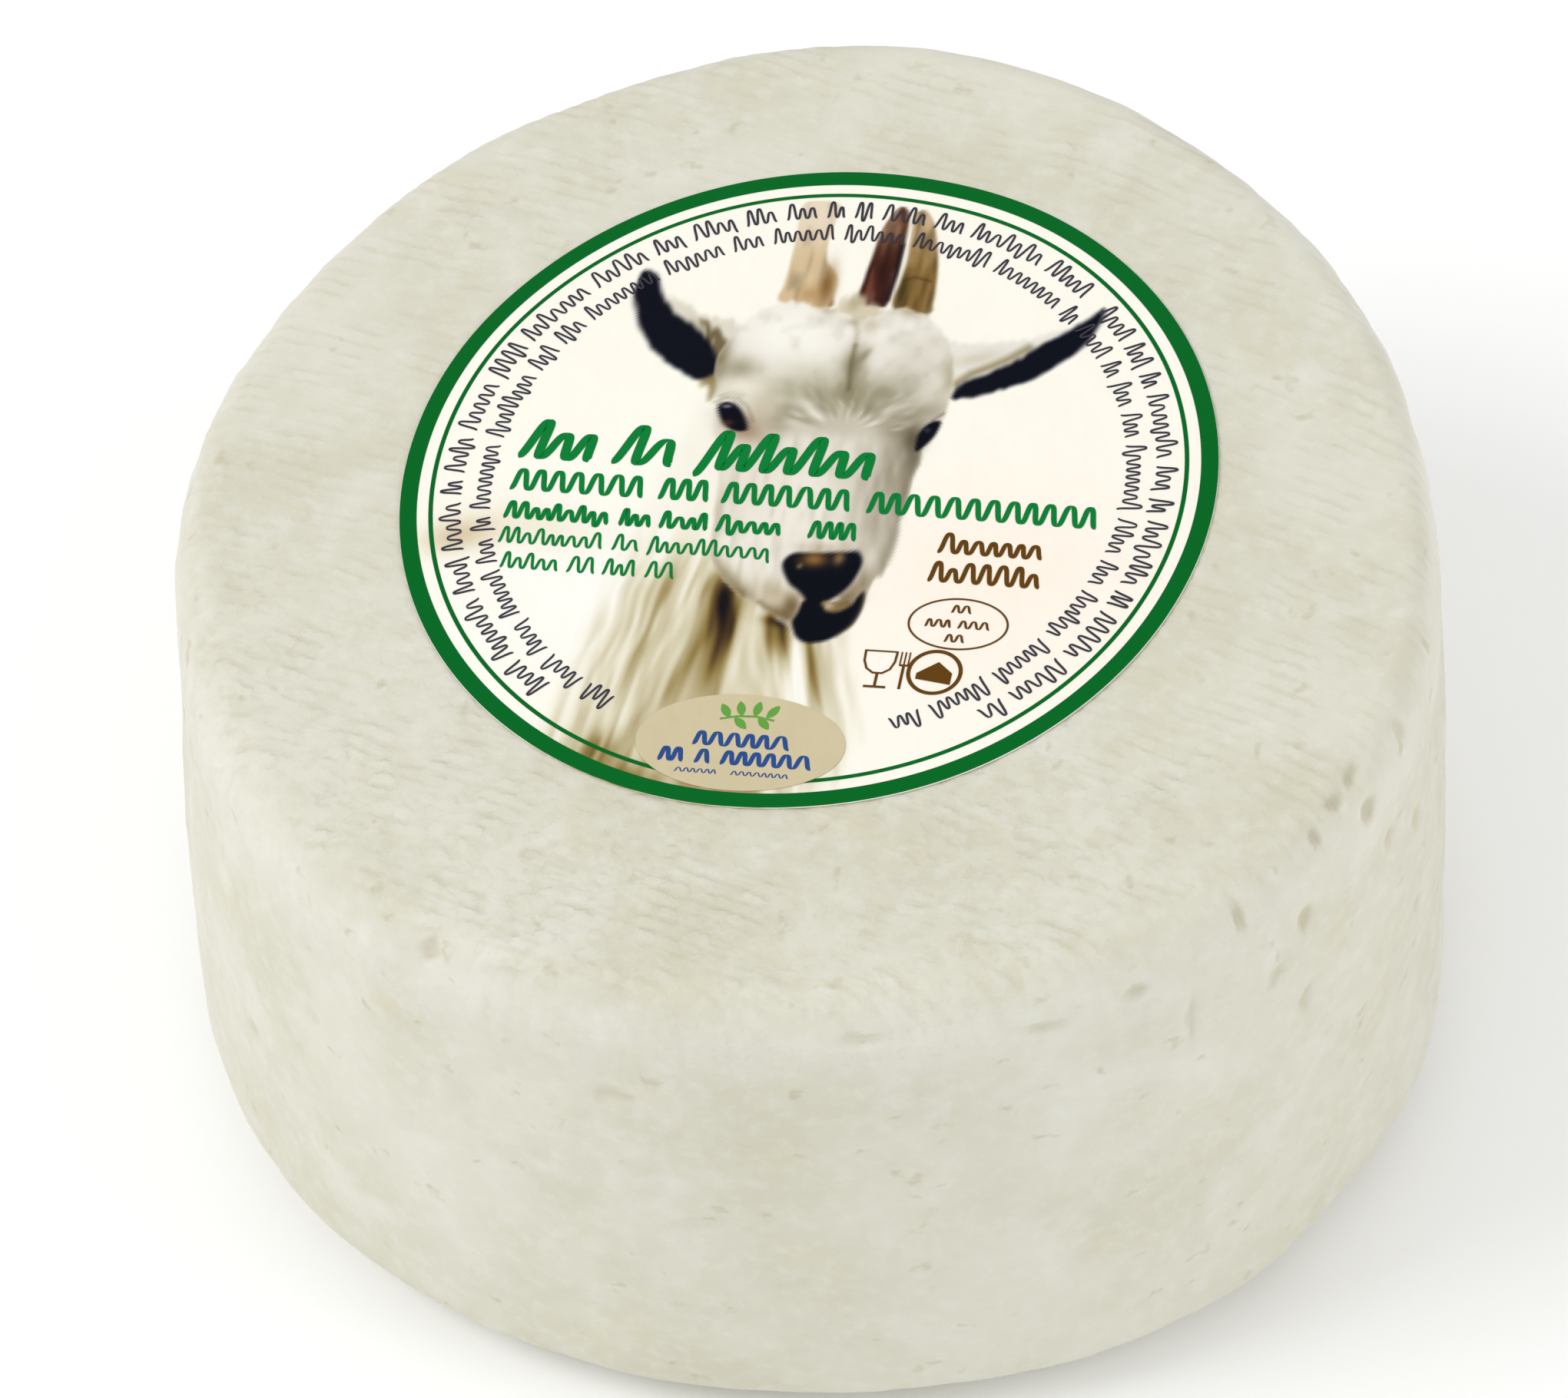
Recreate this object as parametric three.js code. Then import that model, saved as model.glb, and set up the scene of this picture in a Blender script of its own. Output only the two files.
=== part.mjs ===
// A small wheel of fresh goat cheese with a round paper label on its top.
//
// Millimetres, +Z up. The origin is the middle of the flat base, the face that the wheel stands on.
// The wheel is one solid, pressed and dried by hand, so it is a little out of round, its top slopes
// up towards +X and stands slightly off the middle of the base, and its edges are worn round.
// The label is a thin disc of paper that lies on the flat of the top.

import * as THREE from "three";

// The wheel's body.
const WHEEL_DIAMETER = 110; // across the foot of the side wall, before it swells
const WHEEL_HEIGHT = 59.2; // at the middle of the top
const TOP_SLOPE = 3.0; // degrees that the top rises towards +X
const TOP_OFFSET = 2.4; // how far the top's middle stands to +X of the base's middle
const WALL_SWELL = 0.6; // how far the wall stands out at half its height

// Its two worn edges, each a quarter of an ellipse.
const TOP_EDGE_REACH = 4; // inwards from the wall
const TOP_EDGE_DROP = 6.8; // down from the top
const BASE_EDGE_REACH = 12.5; // inwards from the wall
const BASE_EDGE_RISE = 7.3; // up from the base

// How far the outline wanders from a circle, and the direction in degrees where it stands out.
const OVAL = { swing: 1.25, facing: -51 };
const THREE_LOBED = { swing: 1.3, facing: -40 };

// The label.
const LABEL_DIAMETER = 70;
const LABEL_THICKNESS = 0.3;
const LABEL_CLEARANCE = 0.3; // between the paper and the cheese
const LABEL_FROM_MIDDLE = { x: 0.7, y: 3.0 }; // from the middle of the top, along the top

// How finely round shapes are cut into flats.
const FLATS_AROUND = 72;
const FLATS_PER_EDGE = 6;
const FLATS_UP_WALL = 5;

const radians = THREE.MathUtils.degToRad;

const curd = new THREE.MeshStandardMaterial({ color: 0xe2e0d0, roughness: 0.7, metalness: 0 });
const paper = new THREE.MeshStandardMaterial({ color: 0xfdf8ea, roughness: 0.45, metalness: 0 });

// The outline of a straight, round wheel, from the middle of its base to the middle of its top.
function wheelProfile() {
  const radius = WHEEL_DIAMETER / 2;
  const wallFoot = BASE_EDGE_RISE;
  const wallHead = WHEEL_HEIGHT - TOP_EDGE_DROP;
  const quarter = Math.PI / 2;
  const points = [new THREE.Vector2(0, 0)];
  for (let i = 0; i <= FLATS_PER_EDGE; i++) {
    const turn = (quarter * i) / FLATS_PER_EDGE;
    const r = radius - BASE_EDGE_REACH * (1 - Math.sin(turn));
    points.push(new THREE.Vector2(r, wallFoot * (1 - Math.cos(turn))));
  }
  for (let i = 1; i < FLATS_UP_WALL; i++) {
    const share = i / FLATS_UP_WALL;
    const swell = WALL_SWELL * Math.sin(Math.PI * share);
    points.push(new THREE.Vector2(radius + swell, wallFoot + (wallHead - wallFoot) * share));
  }
  for (let i = 0; i <= FLATS_PER_EDGE; i++) {
    const turn = (quarter * i) / FLATS_PER_EDGE;
    const r = radius - TOP_EDGE_REACH * (1 - Math.cos(turn));
    points.push(new THREE.Vector2(r, wallHead + TOP_EDGE_DROP * Math.sin(turn)));
  }
  points.push(new THREE.Vector2(0, WHEEL_HEIGHT));
  return points;
}

// How many times its round radius the outline has in a direction, given in radians.
function outOfRound(direction) {
  const oval = OVAL.swing * Math.cos(2 * (direction - radians(OVAL.facing)));
  const lobed = THREE_LOBED.swing * Math.cos(3 * (direction - radians(THREE_LOBED.facing)));
  return 1 + (oval + lobed) / (WHEEL_DIAMETER / 2);
}

// Moves a point of the straight, round wheel to where it lies on the real one.
function pressOutOfTrue(point) {
  const wallHead = WHEEL_HEIGHT - TOP_EDGE_DROP;
  const upWall = (point.z - BASE_EDGE_RISE) / (wallHead - BASE_EDGE_RISE);
  const slope = Math.tan(radians(TOP_SLOPE)) * THREE.MathUtils.clamp(upWall, 0, 1);
  const offset = (TOP_OFFSET * point.z) / WHEEL_HEIGHT;
  const scale = outOfRound(Math.atan2(point.y, point.x));
  const x = point.x * scale;
  point.set(x + offset, point.y * scale, point.z + slope * x);
}

function cheeseWheel() {
  const geometry = new THREE.LatheGeometry(wheelProfile(), FLATS_AROUND);
  geometry.rotateX(Math.PI / 2);
  const corners = geometry.getAttribute("position");
  const point = new THREE.Vector3();
  for (let i = 0; i < corners.count; i++) {
    point.fromBufferAttribute(corners, i);
    pressOutOfTrue(point);
    corners.setXYZ(i, point.x, point.y, point.z);
  }
  geometry.computeVertexNormals();
  const mesh = new THREE.Mesh(geometry, curd);
  mesh.name = "cheese_wheel";
  return mesh;
}

// The disc lies along the top, so it is placed in the top's own turned frame.
function paperLabel() {
  const radius = LABEL_DIAMETER / 2;
  const geometry = new THREE.CylinderGeometry(radius, radius, LABEL_THICKNESS, FLATS_AROUND);
  geometry.rotateX(Math.PI / 2);
  const mesh = new THREE.Mesh(geometry, paper);
  mesh.name = "paper_label";
  mesh.position.set(
    LABEL_FROM_MIDDLE.x,
    LABEL_FROM_MIDDLE.y,
    LABEL_CLEARANCE + LABEL_THICKNESS / 2,
  );
  const topFrame = new THREE.Group();
  topFrame.position.set(TOP_OFFSET, 0, WHEEL_HEIGHT);
  topFrame.rotation.y = -radians(TOP_SLOPE);
  topFrame.add(mesh);
  return topFrame;
}

const wheel = new THREE.Group();
wheel.add(cheeseWheel(), paperLabel());

export default wheel;
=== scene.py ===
"""A small wheel of fresh goat cheese with a round printed label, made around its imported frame."""

import math

import bpy
import numpy as np
from mathutils import Matrix, Vector


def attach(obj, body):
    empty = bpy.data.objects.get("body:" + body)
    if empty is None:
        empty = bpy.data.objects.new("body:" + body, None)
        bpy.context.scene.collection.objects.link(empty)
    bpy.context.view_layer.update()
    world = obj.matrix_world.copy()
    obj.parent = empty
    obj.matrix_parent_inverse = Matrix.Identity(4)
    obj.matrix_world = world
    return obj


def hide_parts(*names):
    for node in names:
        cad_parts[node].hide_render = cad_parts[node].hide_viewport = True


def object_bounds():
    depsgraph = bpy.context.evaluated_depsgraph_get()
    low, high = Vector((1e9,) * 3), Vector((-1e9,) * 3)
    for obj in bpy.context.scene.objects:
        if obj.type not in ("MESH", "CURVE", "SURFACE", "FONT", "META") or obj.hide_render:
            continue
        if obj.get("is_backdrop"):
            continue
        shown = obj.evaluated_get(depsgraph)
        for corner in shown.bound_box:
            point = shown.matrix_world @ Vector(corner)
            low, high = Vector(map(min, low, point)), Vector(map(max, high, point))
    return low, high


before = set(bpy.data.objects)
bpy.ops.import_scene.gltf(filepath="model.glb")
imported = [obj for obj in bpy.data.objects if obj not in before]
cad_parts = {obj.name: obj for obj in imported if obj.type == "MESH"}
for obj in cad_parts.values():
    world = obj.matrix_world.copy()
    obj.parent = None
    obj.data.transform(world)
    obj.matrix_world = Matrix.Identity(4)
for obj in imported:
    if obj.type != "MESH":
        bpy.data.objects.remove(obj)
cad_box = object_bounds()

MM = 0.001
SEED = 7

# ---------------------------------------------------------------- the wheel's sizes, in millimetres
WHEEL_RADIUS = 55
WHEEL_HEIGHT = 59.2
TOP_SLOPE = math.radians(3.0)
TOP_OFFSET = 2.4
WALL_SWELL = 0.6
TOP_EDGE_REACH = 4
TOP_EDGE_DROP = 6.8
BASE_EDGE_REACH = 12.5
BASE_EDGE_RISE = 7.3
WALL_HEAD = WHEEL_HEIGHT - TOP_EDGE_DROP  # where the wall ends and the top edge begins
# How far the outline wanders from a circle, and the direction where it stands out.
OVAL = (1.25, math.radians(-51))
THREE_LOBED = (1.3, math.radians(-40))
# Where hands have pressed the upper wall in: direction and spread in degrees, and depth at the top.
PRESSED = ((191, 24, 1.8), (-9, 15, 0.8), (97, 16, 0.9))

# The label lies along the top, turned a little clockwise. Its inks lie just above the paper.
LABEL_RADIUS = 35
LABEL_MIDDLE = (0.7, 3.0)
LABEL_TURN = math.radians(-15.5)
LABEL_LIFT = 0.16
PAPER_THICKNESS = 0.12
INK_LIFT = 0.03
PRINT_LIFT = INK_LIFT * 1.4
BADGE_LIFT = INK_LIFT * 1.8
BADGE_PRINT_LIFT = INK_LIFT * 2.4

# ---------------------------------------------------------------- camera, floor and light


def place_camera():
    """Looks down on the wheel from the front, with the wheel leaning a little to the left."""
    down, roll = math.radians(51.2), math.radians(-6.1)
    distance, picture_width = 770, 136.8
    left_of_middle, above_middle = 0.84, 2.83
    right = Vector((1, 0, 0))
    up = Vector((0, math.sin(down), math.cos(down)))
    back = Vector((0, -math.cos(down), math.sin(down)))
    middle = Vector((0, 0, WHEEL_HEIGHT / 2))
    data = bpy.data.cameras.new("camera")
    data.sensor_width = 36
    data.lens = data.sensor_width * distance / picture_width
    camera = bpy.data.objects.new("camera", data)
    bpy.context.scene.collection.objects.link(camera)
    place = middle + back * distance - right * left_of_middle + up * above_middle
    turn = Matrix.Rotation(math.pi / 2 - down, 4, "X") @ Matrix.Rotation(roll, 4, "Z")
    camera.matrix_world = Matrix.Translation(place * MM) @ turn
    bpy.context.scene.camera = camera


def area_light(name, place, size, power, warmth):
    data = bpy.data.lights.new(name, "AREA")
    data.shape = "DISK"
    data.size = size
    data.energy = power
    data.color = warmth
    light = bpy.data.objects.new(name, data)
    bpy.context.scene.collection.objects.link(light)
    aim = Vector((0, 0, 0.03)) - Vector(place)
    turn = aim.to_track_quat("-Z", "Y").to_matrix().to_4x4()
    light.matrix_world = Matrix.Translation(place) @ turn


def light_the_studio():
    """One soft lamp high on the left, a weaker one on the right, and a bright white room."""
    world = bpy.data.worlds.new("studio")
    world.use_nodes = True
    background = world.node_tree.nodes["Background"]
    background.inputs["Color"].default_value = (1.0, 1.0, 1.0, 1)
    background.inputs["Strength"].default_value = 0.765
    bpy.context.scene.world = world
    area_light("window", (-0.85, -0.1, 0.95), 0.7, 5.8, (0.985, 0.992, 1.0))
    area_light("fill", (0.9, -0.4, 0.6), 0.7, 2.45, (0.99, 0.993, 1.0))
    bpy.context.scene.view_settings.view_transform = "Standard"


def lay_floor():
    half = 2000
    corners = [(-half, -half, 0), (half, -half, 0), (half, half, 0), (-half, half, 0)]
    made = Material("white_table", roughness=0.85, Base_Color=(0.99, 0.99, 0.99, 1))
    floor = link_mesh("floor", corners, [(0, 1, 2, 3)], made.material, smooth=False)
    floor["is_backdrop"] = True


# ---------------------------------------------------------------- help with node trees


class Material:
    """A Principled material, with short calls that add and join nodes."""

    def __init__(self, name, roughness, **sockets):
        self.material = bpy.data.materials.new(name)
        self.material.use_nodes = True
        self.tree = self.material.node_tree
        self.shader = self.tree.nodes["Principled BSDF"]
        self.shader.inputs["Roughness"].default_value = roughness
        for socket, value in sockets.items():
            self.shader.inputs[socket.replace("_", " ")].default_value = value

    def add(self, kind, settings=None, **inputs):
        return add_node(self.tree, kind, settings, **inputs)

    def stored(self, name, socket="Fac"):
        """What the piece holds at each point under a name."""
        return self.add("Attribute", {"attribute_name": name}).outputs[socket]

    def into(self, output, socket):
        self.tree.links.new(output, self.shader.inputs[socket])

    def raise_by(self, height, strength, distance):
        bump = self.add("Bump", Height=height, Strength=strength, Distance=distance)
        self.into(bump.outputs["Normal"], "Normal")


def add_node(tree, kind, settings=None, **inputs):
    """Adds a node. Each input is a value or another node's output.

    An input goes by its socket's name with _ for spaces, or by its number as i0, i1 and so on.
    """
    node = tree.nodes.new("ShaderNode" + kind)
    for name, value in (settings or {}).items():
        setattr(node, name, value)
    for name, value in inputs.items():
        key = int(name[1:]) if name[1:].isdigit() and name[0] == "i" else name.replace("_", " ")
        socket = node.inputs[key]
        if isinstance(value, bpy.types.NodeSocket):
            tree.links.new(value, socket)
        else:
            socket.default_value = value
    return node


def maths(tree, operation, a, b=0.0, c=0.0):
    return add_node(tree, "Math", {"operation": operation}, i0=a, i1=b, i2=c).outputs[0]


def times(tree, a, b):
    return maths(tree, "MULTIPLY", a, b)


def noise(tree, place, scale, detail=2.0, roughness=0.5, distortion=0.0, output="Fac"):
    settings = {"Scale": scale, "Detail": detail, "Roughness": roughness, "Distortion": distortion}
    return add_node(tree, "TexNoise", Vector=place, **settings).outputs[output]


def mapped(tree, place, scale):
    return add_node(tree, "Mapping", Vector=place, Scale=scale).outputs["Vector"]


def shaken(tree, place, here, scale, reach, detail=2.0, roughness=0.5):
    """A place moved about by noise, by up to half the reach each way."""
    shift = noise(tree, here, scale, detail, roughness, output="Color")
    middled = add_node(tree, "VectorMath", {"operation": "SUBTRACT"}, i0=shift, i1=(0.5, 0.5, 0.5))
    settings = {"operation": "MULTIPLY_ADD"}
    return add_node(tree, "VectorMath", settings, i0=middled.outputs[0], i1=reach, i2=place).outputs[0]


def span(tree, value, low, high, to_low=0.0, to_high=1.0):
    """Moves a value from one range to another, with soft ends."""
    settings = {"interpolation_type": "SMOOTHSTEP"}
    node = add_node(
        tree, "MapRange", settings,
        Value=value, From_Min=low, From_Max=high, To_Min=to_low, To_Max=to_high,
    )
    return node.outputs["Result"]


def blend_colours(tree, share, a, b, way="MIX"):
    settings = {"data_type": "RGBA", "blend_type": way}
    node = add_node(tree, "Mix", settings, i0=share, i6=a, i7=b)
    return node.outputs[2]


def node_group(name, inputs, outputs):
    """An empty shader group with named sockets. Gives its tree and its two end nodes."""
    tree = bpy.data.node_groups.new(name, "ShaderNodeTree")
    for socket, kind, value in inputs:
        made = tree.interface.new_socket(socket, in_out="INPUT", socket_type="NodeSocket" + kind)
        made.default_value = value
    for socket, kind in outputs:
        tree.interface.new_socket(socket, in_out="OUTPUT", socket_type="NodeSocket" + kind)
    return tree, tree.nodes.new("NodeGroupInput"), tree.nodes.new("NodeGroupOutput")


# ---------------------------------------------------------------- smooth random fields


def soft_random(points, size, seed):
    """Smooth random values from -1 to 1 at the points, with lumps about one size across."""
    side = 32
    table = np.random.default_rng(SEED * 1000 + seed).random((side, side, side)) * 2 - 1
    at = points / np.asarray(size) + side / 2 + 0.37 * seed
    low = np.floor(at).astype(int)
    share = at - low
    share = share * share * (3 - 2 * share)
    total = 0
    for corner in np.ndindex(2, 2, 2):
        i, j, k = ((low + corner) % side).T
        weight = np.prod(np.where(corner, share, 1 - share), axis=1)
        total = total + weight * table[i, j, k]
    return total


def layered_random(points, size, seed, layers=3):
    """Soft random values with finer ones added, each layer half the size and half as strong."""
    total, strength = 0, 1
    for layer in range(layers):
        total = total + strength * soft_random(points, np.asarray(size) / 2**layer, seed + 17 * layer)
        strength /= 2
    return total / 1.6


def flat(x, y):
    return np.stack([x, y, 0 * x], axis=1)


def smooth_step(value, low, high):
    share = np.clip((value - low) / (high - low), 0, 1)
    return share * share * (3 - 2 * share)


def link_mesh(name, points, faces, material, smooth=True):
    """Makes an object from points in millimetres."""
    mesh = bpy.data.meshes.new(name)
    mesh.from_pydata((np.asarray(points) * MM).tolist(), [], faces)
    mesh.polygons.foreach_set("use_smooth", [smooth] * len(mesh.polygons))
    mesh.materials.append(material)
    mesh.update()
    piece = bpy.data.objects.new(name, mesh)
    bpy.context.scene.collection.objects.link(piece)
    return piece


def keep_values(piece, name, values):
    """Stores one number or one vector for each point, which the material reads by its name."""
    values = np.asarray(values, np.float32)
    kind, field = ("FLOAT", "value") if values.ndim == 1 else ("FLOAT_VECTOR", "vector")
    made = piece.data.attributes.new(name, kind, "POINT")
    made.data.foreach_set(field, values.ravel())


# ---------------------------------------------------------------- the cheese

FLATS_AROUND = 680
RINGS = {"base": 9, "base_edge": 13, "wall": 50, "top_edge": 18, "shoulder": 43, "under_label": 11}
SHOULDER_FROM = 33.0  # inside this radius the label hides the top, and the rings stand further apart


def wheel_profile():
    """The outline of a straight round wheel, from the middle of its base to the middle of its top."""
    quarter = math.pi / 2
    base_flat, top_flat = WHEEL_RADIUS - BASE_EDGE_REACH, WHEEL_RADIUS - TOP_EDGE_REACH
    wall_rise = WALL_HEAD - BASE_EDGE_RISE
    shares = {part: [i / count for i in range(count)] for part, count in RINGS.items()}
    outline = [(base_flat * s, 0.0) for s in shares["base"][1:]]
    outline += [
        (base_flat + BASE_EDGE_REACH * math.sin(quarter * s), BASE_EDGE_RISE * (1 - math.cos(quarter * s)))
        for s in shares["base_edge"]
    ]
    outline += [
        (WHEEL_RADIUS + WALL_SWELL * math.sin(math.pi * s), BASE_EDGE_RISE + wall_rise * s)
        for s in shares["wall"]
    ]
    outline += [
        (top_flat + TOP_EDGE_REACH * math.cos(quarter * s), WALL_HEAD + TOP_EDGE_DROP * math.sin(quarter * s))
        for s in shares["top_edge"]
    ]
    outline += [(top_flat + (SHOULDER_FROM - top_flat) * s, WHEEL_HEIGHT) for s in shares["shoulder"]]
    outline += [(SHOULDER_FROM * (1 - s), WHEEL_HEIGHT) for s in shares["under_label"]]
    return np.array(outline)


def out_of_round(direction):
    """How many times its round radius the outline has in a direction."""
    oval = OVAL[0] * np.cos(2 * (direction - OVAL[1]))
    lobed = THREE_LOBED[0] * np.cos(3 * (direction - THREE_LOBED[1]))
    return 1 + (oval + lobed) / WHEEL_RADIUS


def press_out_of_true(radius, direction, height):
    """Where a point of the straight round wheel lies on the real one."""
    slope = math.tan(TOP_SLOPE) * np.clip((height - BASE_EDGE_RISE) / (WALL_HEAD - BASE_EDGE_RISE), 0, 1)
    reach = radius * out_of_round(direction)
    soft = smooth_step(height, -5, WALL_HEAD) * smooth_step(radius, LABEL_RADIUS, WHEEL_RADIUS)
    for facing, spread, deep in PRESSED:
        gap = (np.degrees(direction) - facing + 180) % 360 - 180
        reach = reach - deep * np.exp(-((gap / spread) ** 2)) * soft
    x, y = reach * np.cos(direction), reach * np.sin(direction)
    return np.stack([x + TOP_OFFSET * height / WHEEL_HEIGHT, y, height + slope * x], axis=-1)


def top_relief(x, y):
    """How the top rises and sinks, in millimetres. The label lies on it."""
    return 0.22 * soft_random(flat(x, y), 17, 3) + 0.06 * soft_random(flat(x, y), 9, 4)


# The cheese cloth has left rows of shallow grooves across the top, broken into small cells.
CLOTH_TURN = math.radians(-32)
CLOTH_BEND = 0.0008
ROW_HEIGHT = 1.45
ROW_DEPTH = 0.035
CELL_LENGTH = 2.0
LUMP_DEPTH = 0.085


def cloth_places(points):
    """Places along and across the cloth's rows, in millimetres, with the cloth's creases."""
    x, y = points[:, 0], points[:, 1]
    along = x * math.cos(CLOTH_TURN) + y * math.sin(CLOTH_TURN)
    across = -x * math.sin(CLOTH_TURN) + y * math.cos(CLOTH_TURN)
    across = across + CLOTH_BEND * along**2
    across = across + 0.75 * soft_random(points, 15, 11) + 0.35 * soft_random(points, 4.5, 12)
    along = along + 0.8 * soft_random(points, 6, 13)
    return along, across


def crumble(points):
    """Where the cloth's rows have broken into lumps, from 0 to 1: mostly in front and on the left."""
    x, y = points[:, 0], points[:, 1]
    side = smooth_step(-0.45 * x - y, -10, 42)
    return np.clip(side * 0.75 + 0.55 * layered_random(points, 13, 21, 2), 0, 1)


def cloth_relief(along, across, broken):
    """Shallow rows with rounded backs, and uneven small lumps where they have crumbled."""
    rows = np.cos(2 * math.pi * across / ROW_HEIGHT)
    places = flat(along, across)
    lumps = soft_random(places, (1.5, 1.15, 1), 22) + 0.6 * soft_random(places, 0.8, 23)
    return ROW_DEPTH * rows * (1 - 0.5 * broken) + LUMP_DEPTH * lumps * broken


# Dents in the wall and on the rim: direction in degrees, height, width across, width up, depth.
DENTS = (
    (-40.0, 54.7, 1.0, 1.2, 0.55), (-43.0, 57.9, 1.0, 0.6, 0.42), (-40.0, 58.2, 0.9, 0.5, 0.36),
    (-46.5, 57.2, 0.8, 0.8, 0.42), (-56.0, 56.3, 0.7, 1.3, 0.42), (-49.0, 50.5, 0.8, 1.5, 0.42),
    (-48.5, 39.7, 0.8, 1.7, 0.3), (-30.0, 31.7, 0.8, 1.4, 0.3), (-33.0, 57.0, 1.0, 1.0, 0.3),
    (-37.0, 48.0, 0.9, 1.5, 0.3), (-31.0, 44.0, 1.1, 1.9, 0.3), (-52.5, 46.0, 0.8, 1.2, 0.3),
    (-66.0, 54.2, 1.6, 0.9, 0.35), (-74.0, 53.6, 1.9, 0.8, 0.3), (-90.0, 55.5, 2.4, 0.7, 0.25),
    (-61.0, 48.0, 0.5, 3.5, 0.25), (-131.0, 57.5, 1.4, 0.7, 0.3), (-112.0, 47.0, 2.2, 0.9, 0.25),
)


DENTS_SCATTERED = 200
DENT_DEPTH = 1.3  # times the depth that a dent is given
DENT_EDGE = 1.6  # how steep its edge is
RAGGED = 0.5  # how far the outlines of dents wander, in millimetres
LABEL_BED = 0.25  # how far the cheese sinks under the label


def scattered_dents():
    """Shallow hollows all round the wheel, most of them wider than they are tall."""
    chance = np.random.default_rng(SEED)
    for _ in range(DENTS_SCATTERED):
        width = chance.uniform(0.7, 1.6)
        yield (
            chance.uniform(-180, 180), chance.uniform(5, 56), width,
            width * chance.uniform(0.4, 1.1), chance.uniform(0.04, 0.15),
        )


def dent_depth(direction, height):
    """How deep the dents are at each place of the wall, with ragged outlines."""
    depth = np.zeros(len(direction))
    places = flat(direction * WHEEL_RADIUS, height)
    turned = direction + RAGGED / WHEEL_RADIUS * soft_random(places, 1.6, 41)
    raised = height + RAGGED * soft_random(places, 1.6, 42)
    for facing, level, across, up, deep in (*DENTS, *scattered_dents()):
        near = np.flatnonzero(np.abs(height - level) < 3 * up + 1)
        gap = (turned[near] - math.radians(facing) + math.pi) % (2 * math.pi) - math.pi
        reach = (gap * WHEEL_RADIUS / across) ** 2 + ((raised[near] - level) / up) ** 2
        depth[near] += DENT_DEPTH * deep * np.exp(-(reach**DENT_EDGE))
    return depth


def cheese_zones(points, height):
    """How far each point belongs to each zone, from 0 to 1. The zones run into each other softly."""
    top = smooth_step(height, WALL_HEAD + 0.45 * TOP_EDGE_DROP, WHEEL_HEIGHT)
    base = smooth_step(-height, -BASE_EDGE_RISE * 0.5, 0)
    reach = np.hypot(points[:, 0] - TOP_OFFSET - LABEL_MIDDLE[0], points[:, 1] - LABEL_MIDDLE[1])
    return {
        "top": top,
        "rim": smooth_step(height, WALL_HEAD - 5, WALL_HEAD + 3) * (1 - top),
        "wall": np.clip(1 - top - base, 0, 1),
        "off_base": 1 - base,
        "under_label": smooth_step(-reach, -LABEL_RADIUS - 1, -LABEL_RADIUS + 3) * top,
        "clear_of_label": smooth_step(reach, LABEL_RADIUS + 0.5, LABEL_RADIUS + 6),
    }


def cheese_relief(points, zones, cloth):
    """How far each point stands out from the smooth wheel, in millimetres, before the dents."""
    top, rim, wall = zones["top"], zones["rim"], zones["wall"]
    rise = top * top_relief(points[:, 0], points[:, 1]) - LABEL_BED * zones["under_label"]
    rise = rise + (top + 0.5 * rim) * cloth
    rise = rise + top * zones["clear_of_label"] * 0.3 * layered_random(points, 7, 31)
    rise = rise + rim * (0.4 * soft_random(points, 15, 35) + 0.22 * layered_random(points, 5, 36))
    rise = rise + wall * (0.5 * soft_random(points, 26, 32) + 0.3 * layered_random(points, 9, 33))
    return rise + wall * 0.06 * layered_random(points, 2.4, 34, 2)


def closed_rings(rings, around):
    """Faces between rings of points, with a fan at each end about one more point."""
    after = [(i + 1) % around for i in range(around)]
    faces = [
        (r * around + i, r * around + j, (r + 1) * around + j, (r + 1) * around + i)
        for r in range(rings - 1) for i, j in enumerate(after)
    ]
    first_end, last = rings * around, (rings - 1) * around
    faces += [(first_end, j, i) for i, j in enumerate(after)]
    faces += [(first_end + 1, last + i, last + j) for i, j in enumerate(after)]
    return faces


def make_cheese():
    profile = wheel_profile()
    rings = len(profile)
    radius, height = np.repeat(profile, FLATS_AROUND, axis=0).T
    direction = np.tile(np.arange(FLATS_AROUND) * 2 * math.pi / FLATS_AROUND, rings)
    points = press_out_of_true(radius, direction, height)
    outward = facing_of(points.reshape(rings, FLATS_AROUND, 3)).reshape(-1, 3)
    zones = cheese_zones(points, height)
    along, across = cloth_places(points)
    broken = crumble(points)
    pits = dent_depth(direction, height) * zones["off_base"]
    pits = pits * np.where(zones["top"] > 0.99, zones["clear_of_label"], 1)
    rise = cheese_relief(points, zones, cloth_relief(along, across, broken)) - pits
    points = points + outward * (rise * zones["off_base"])[:, None]
    points[:, 2] = np.maximum(points[:, 2], 0)
    ends = [(0, 0, 0), (TOP_OFFSET, 0, WHEEL_HEIGHT)]
    faces = closed_rings(rings, FLATS_AROUND)
    cheese = link_mesh("cheese_body", np.vstack([points, ends]), faces, fresh_cheese())
    kept = {
        "cloth_place": flat(along, across), "cloth_print": zones["top"], "crumbled": broken,
        "dents": pits, "rim": zones["rim"],
    }
    for name, values in kept.items():
        keep_values(cheese, name, np.concatenate([values, np.zeros((len(ends), *values.shape[1:]))]))
    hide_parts("cheese_wheel")
    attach(cheese, "root")


def facing_of(grid):
    """The outward direction at each point of a closed grid of rings."""
    around = np.roll(grid, -1, 1) - np.roll(grid, 1, 1)
    upward = np.gradient(grid, axis=0)
    facing = np.cross(around, upward)
    return facing / np.maximum(np.linalg.norm(facing, axis=2, keepdims=True), 1e-9)


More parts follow.
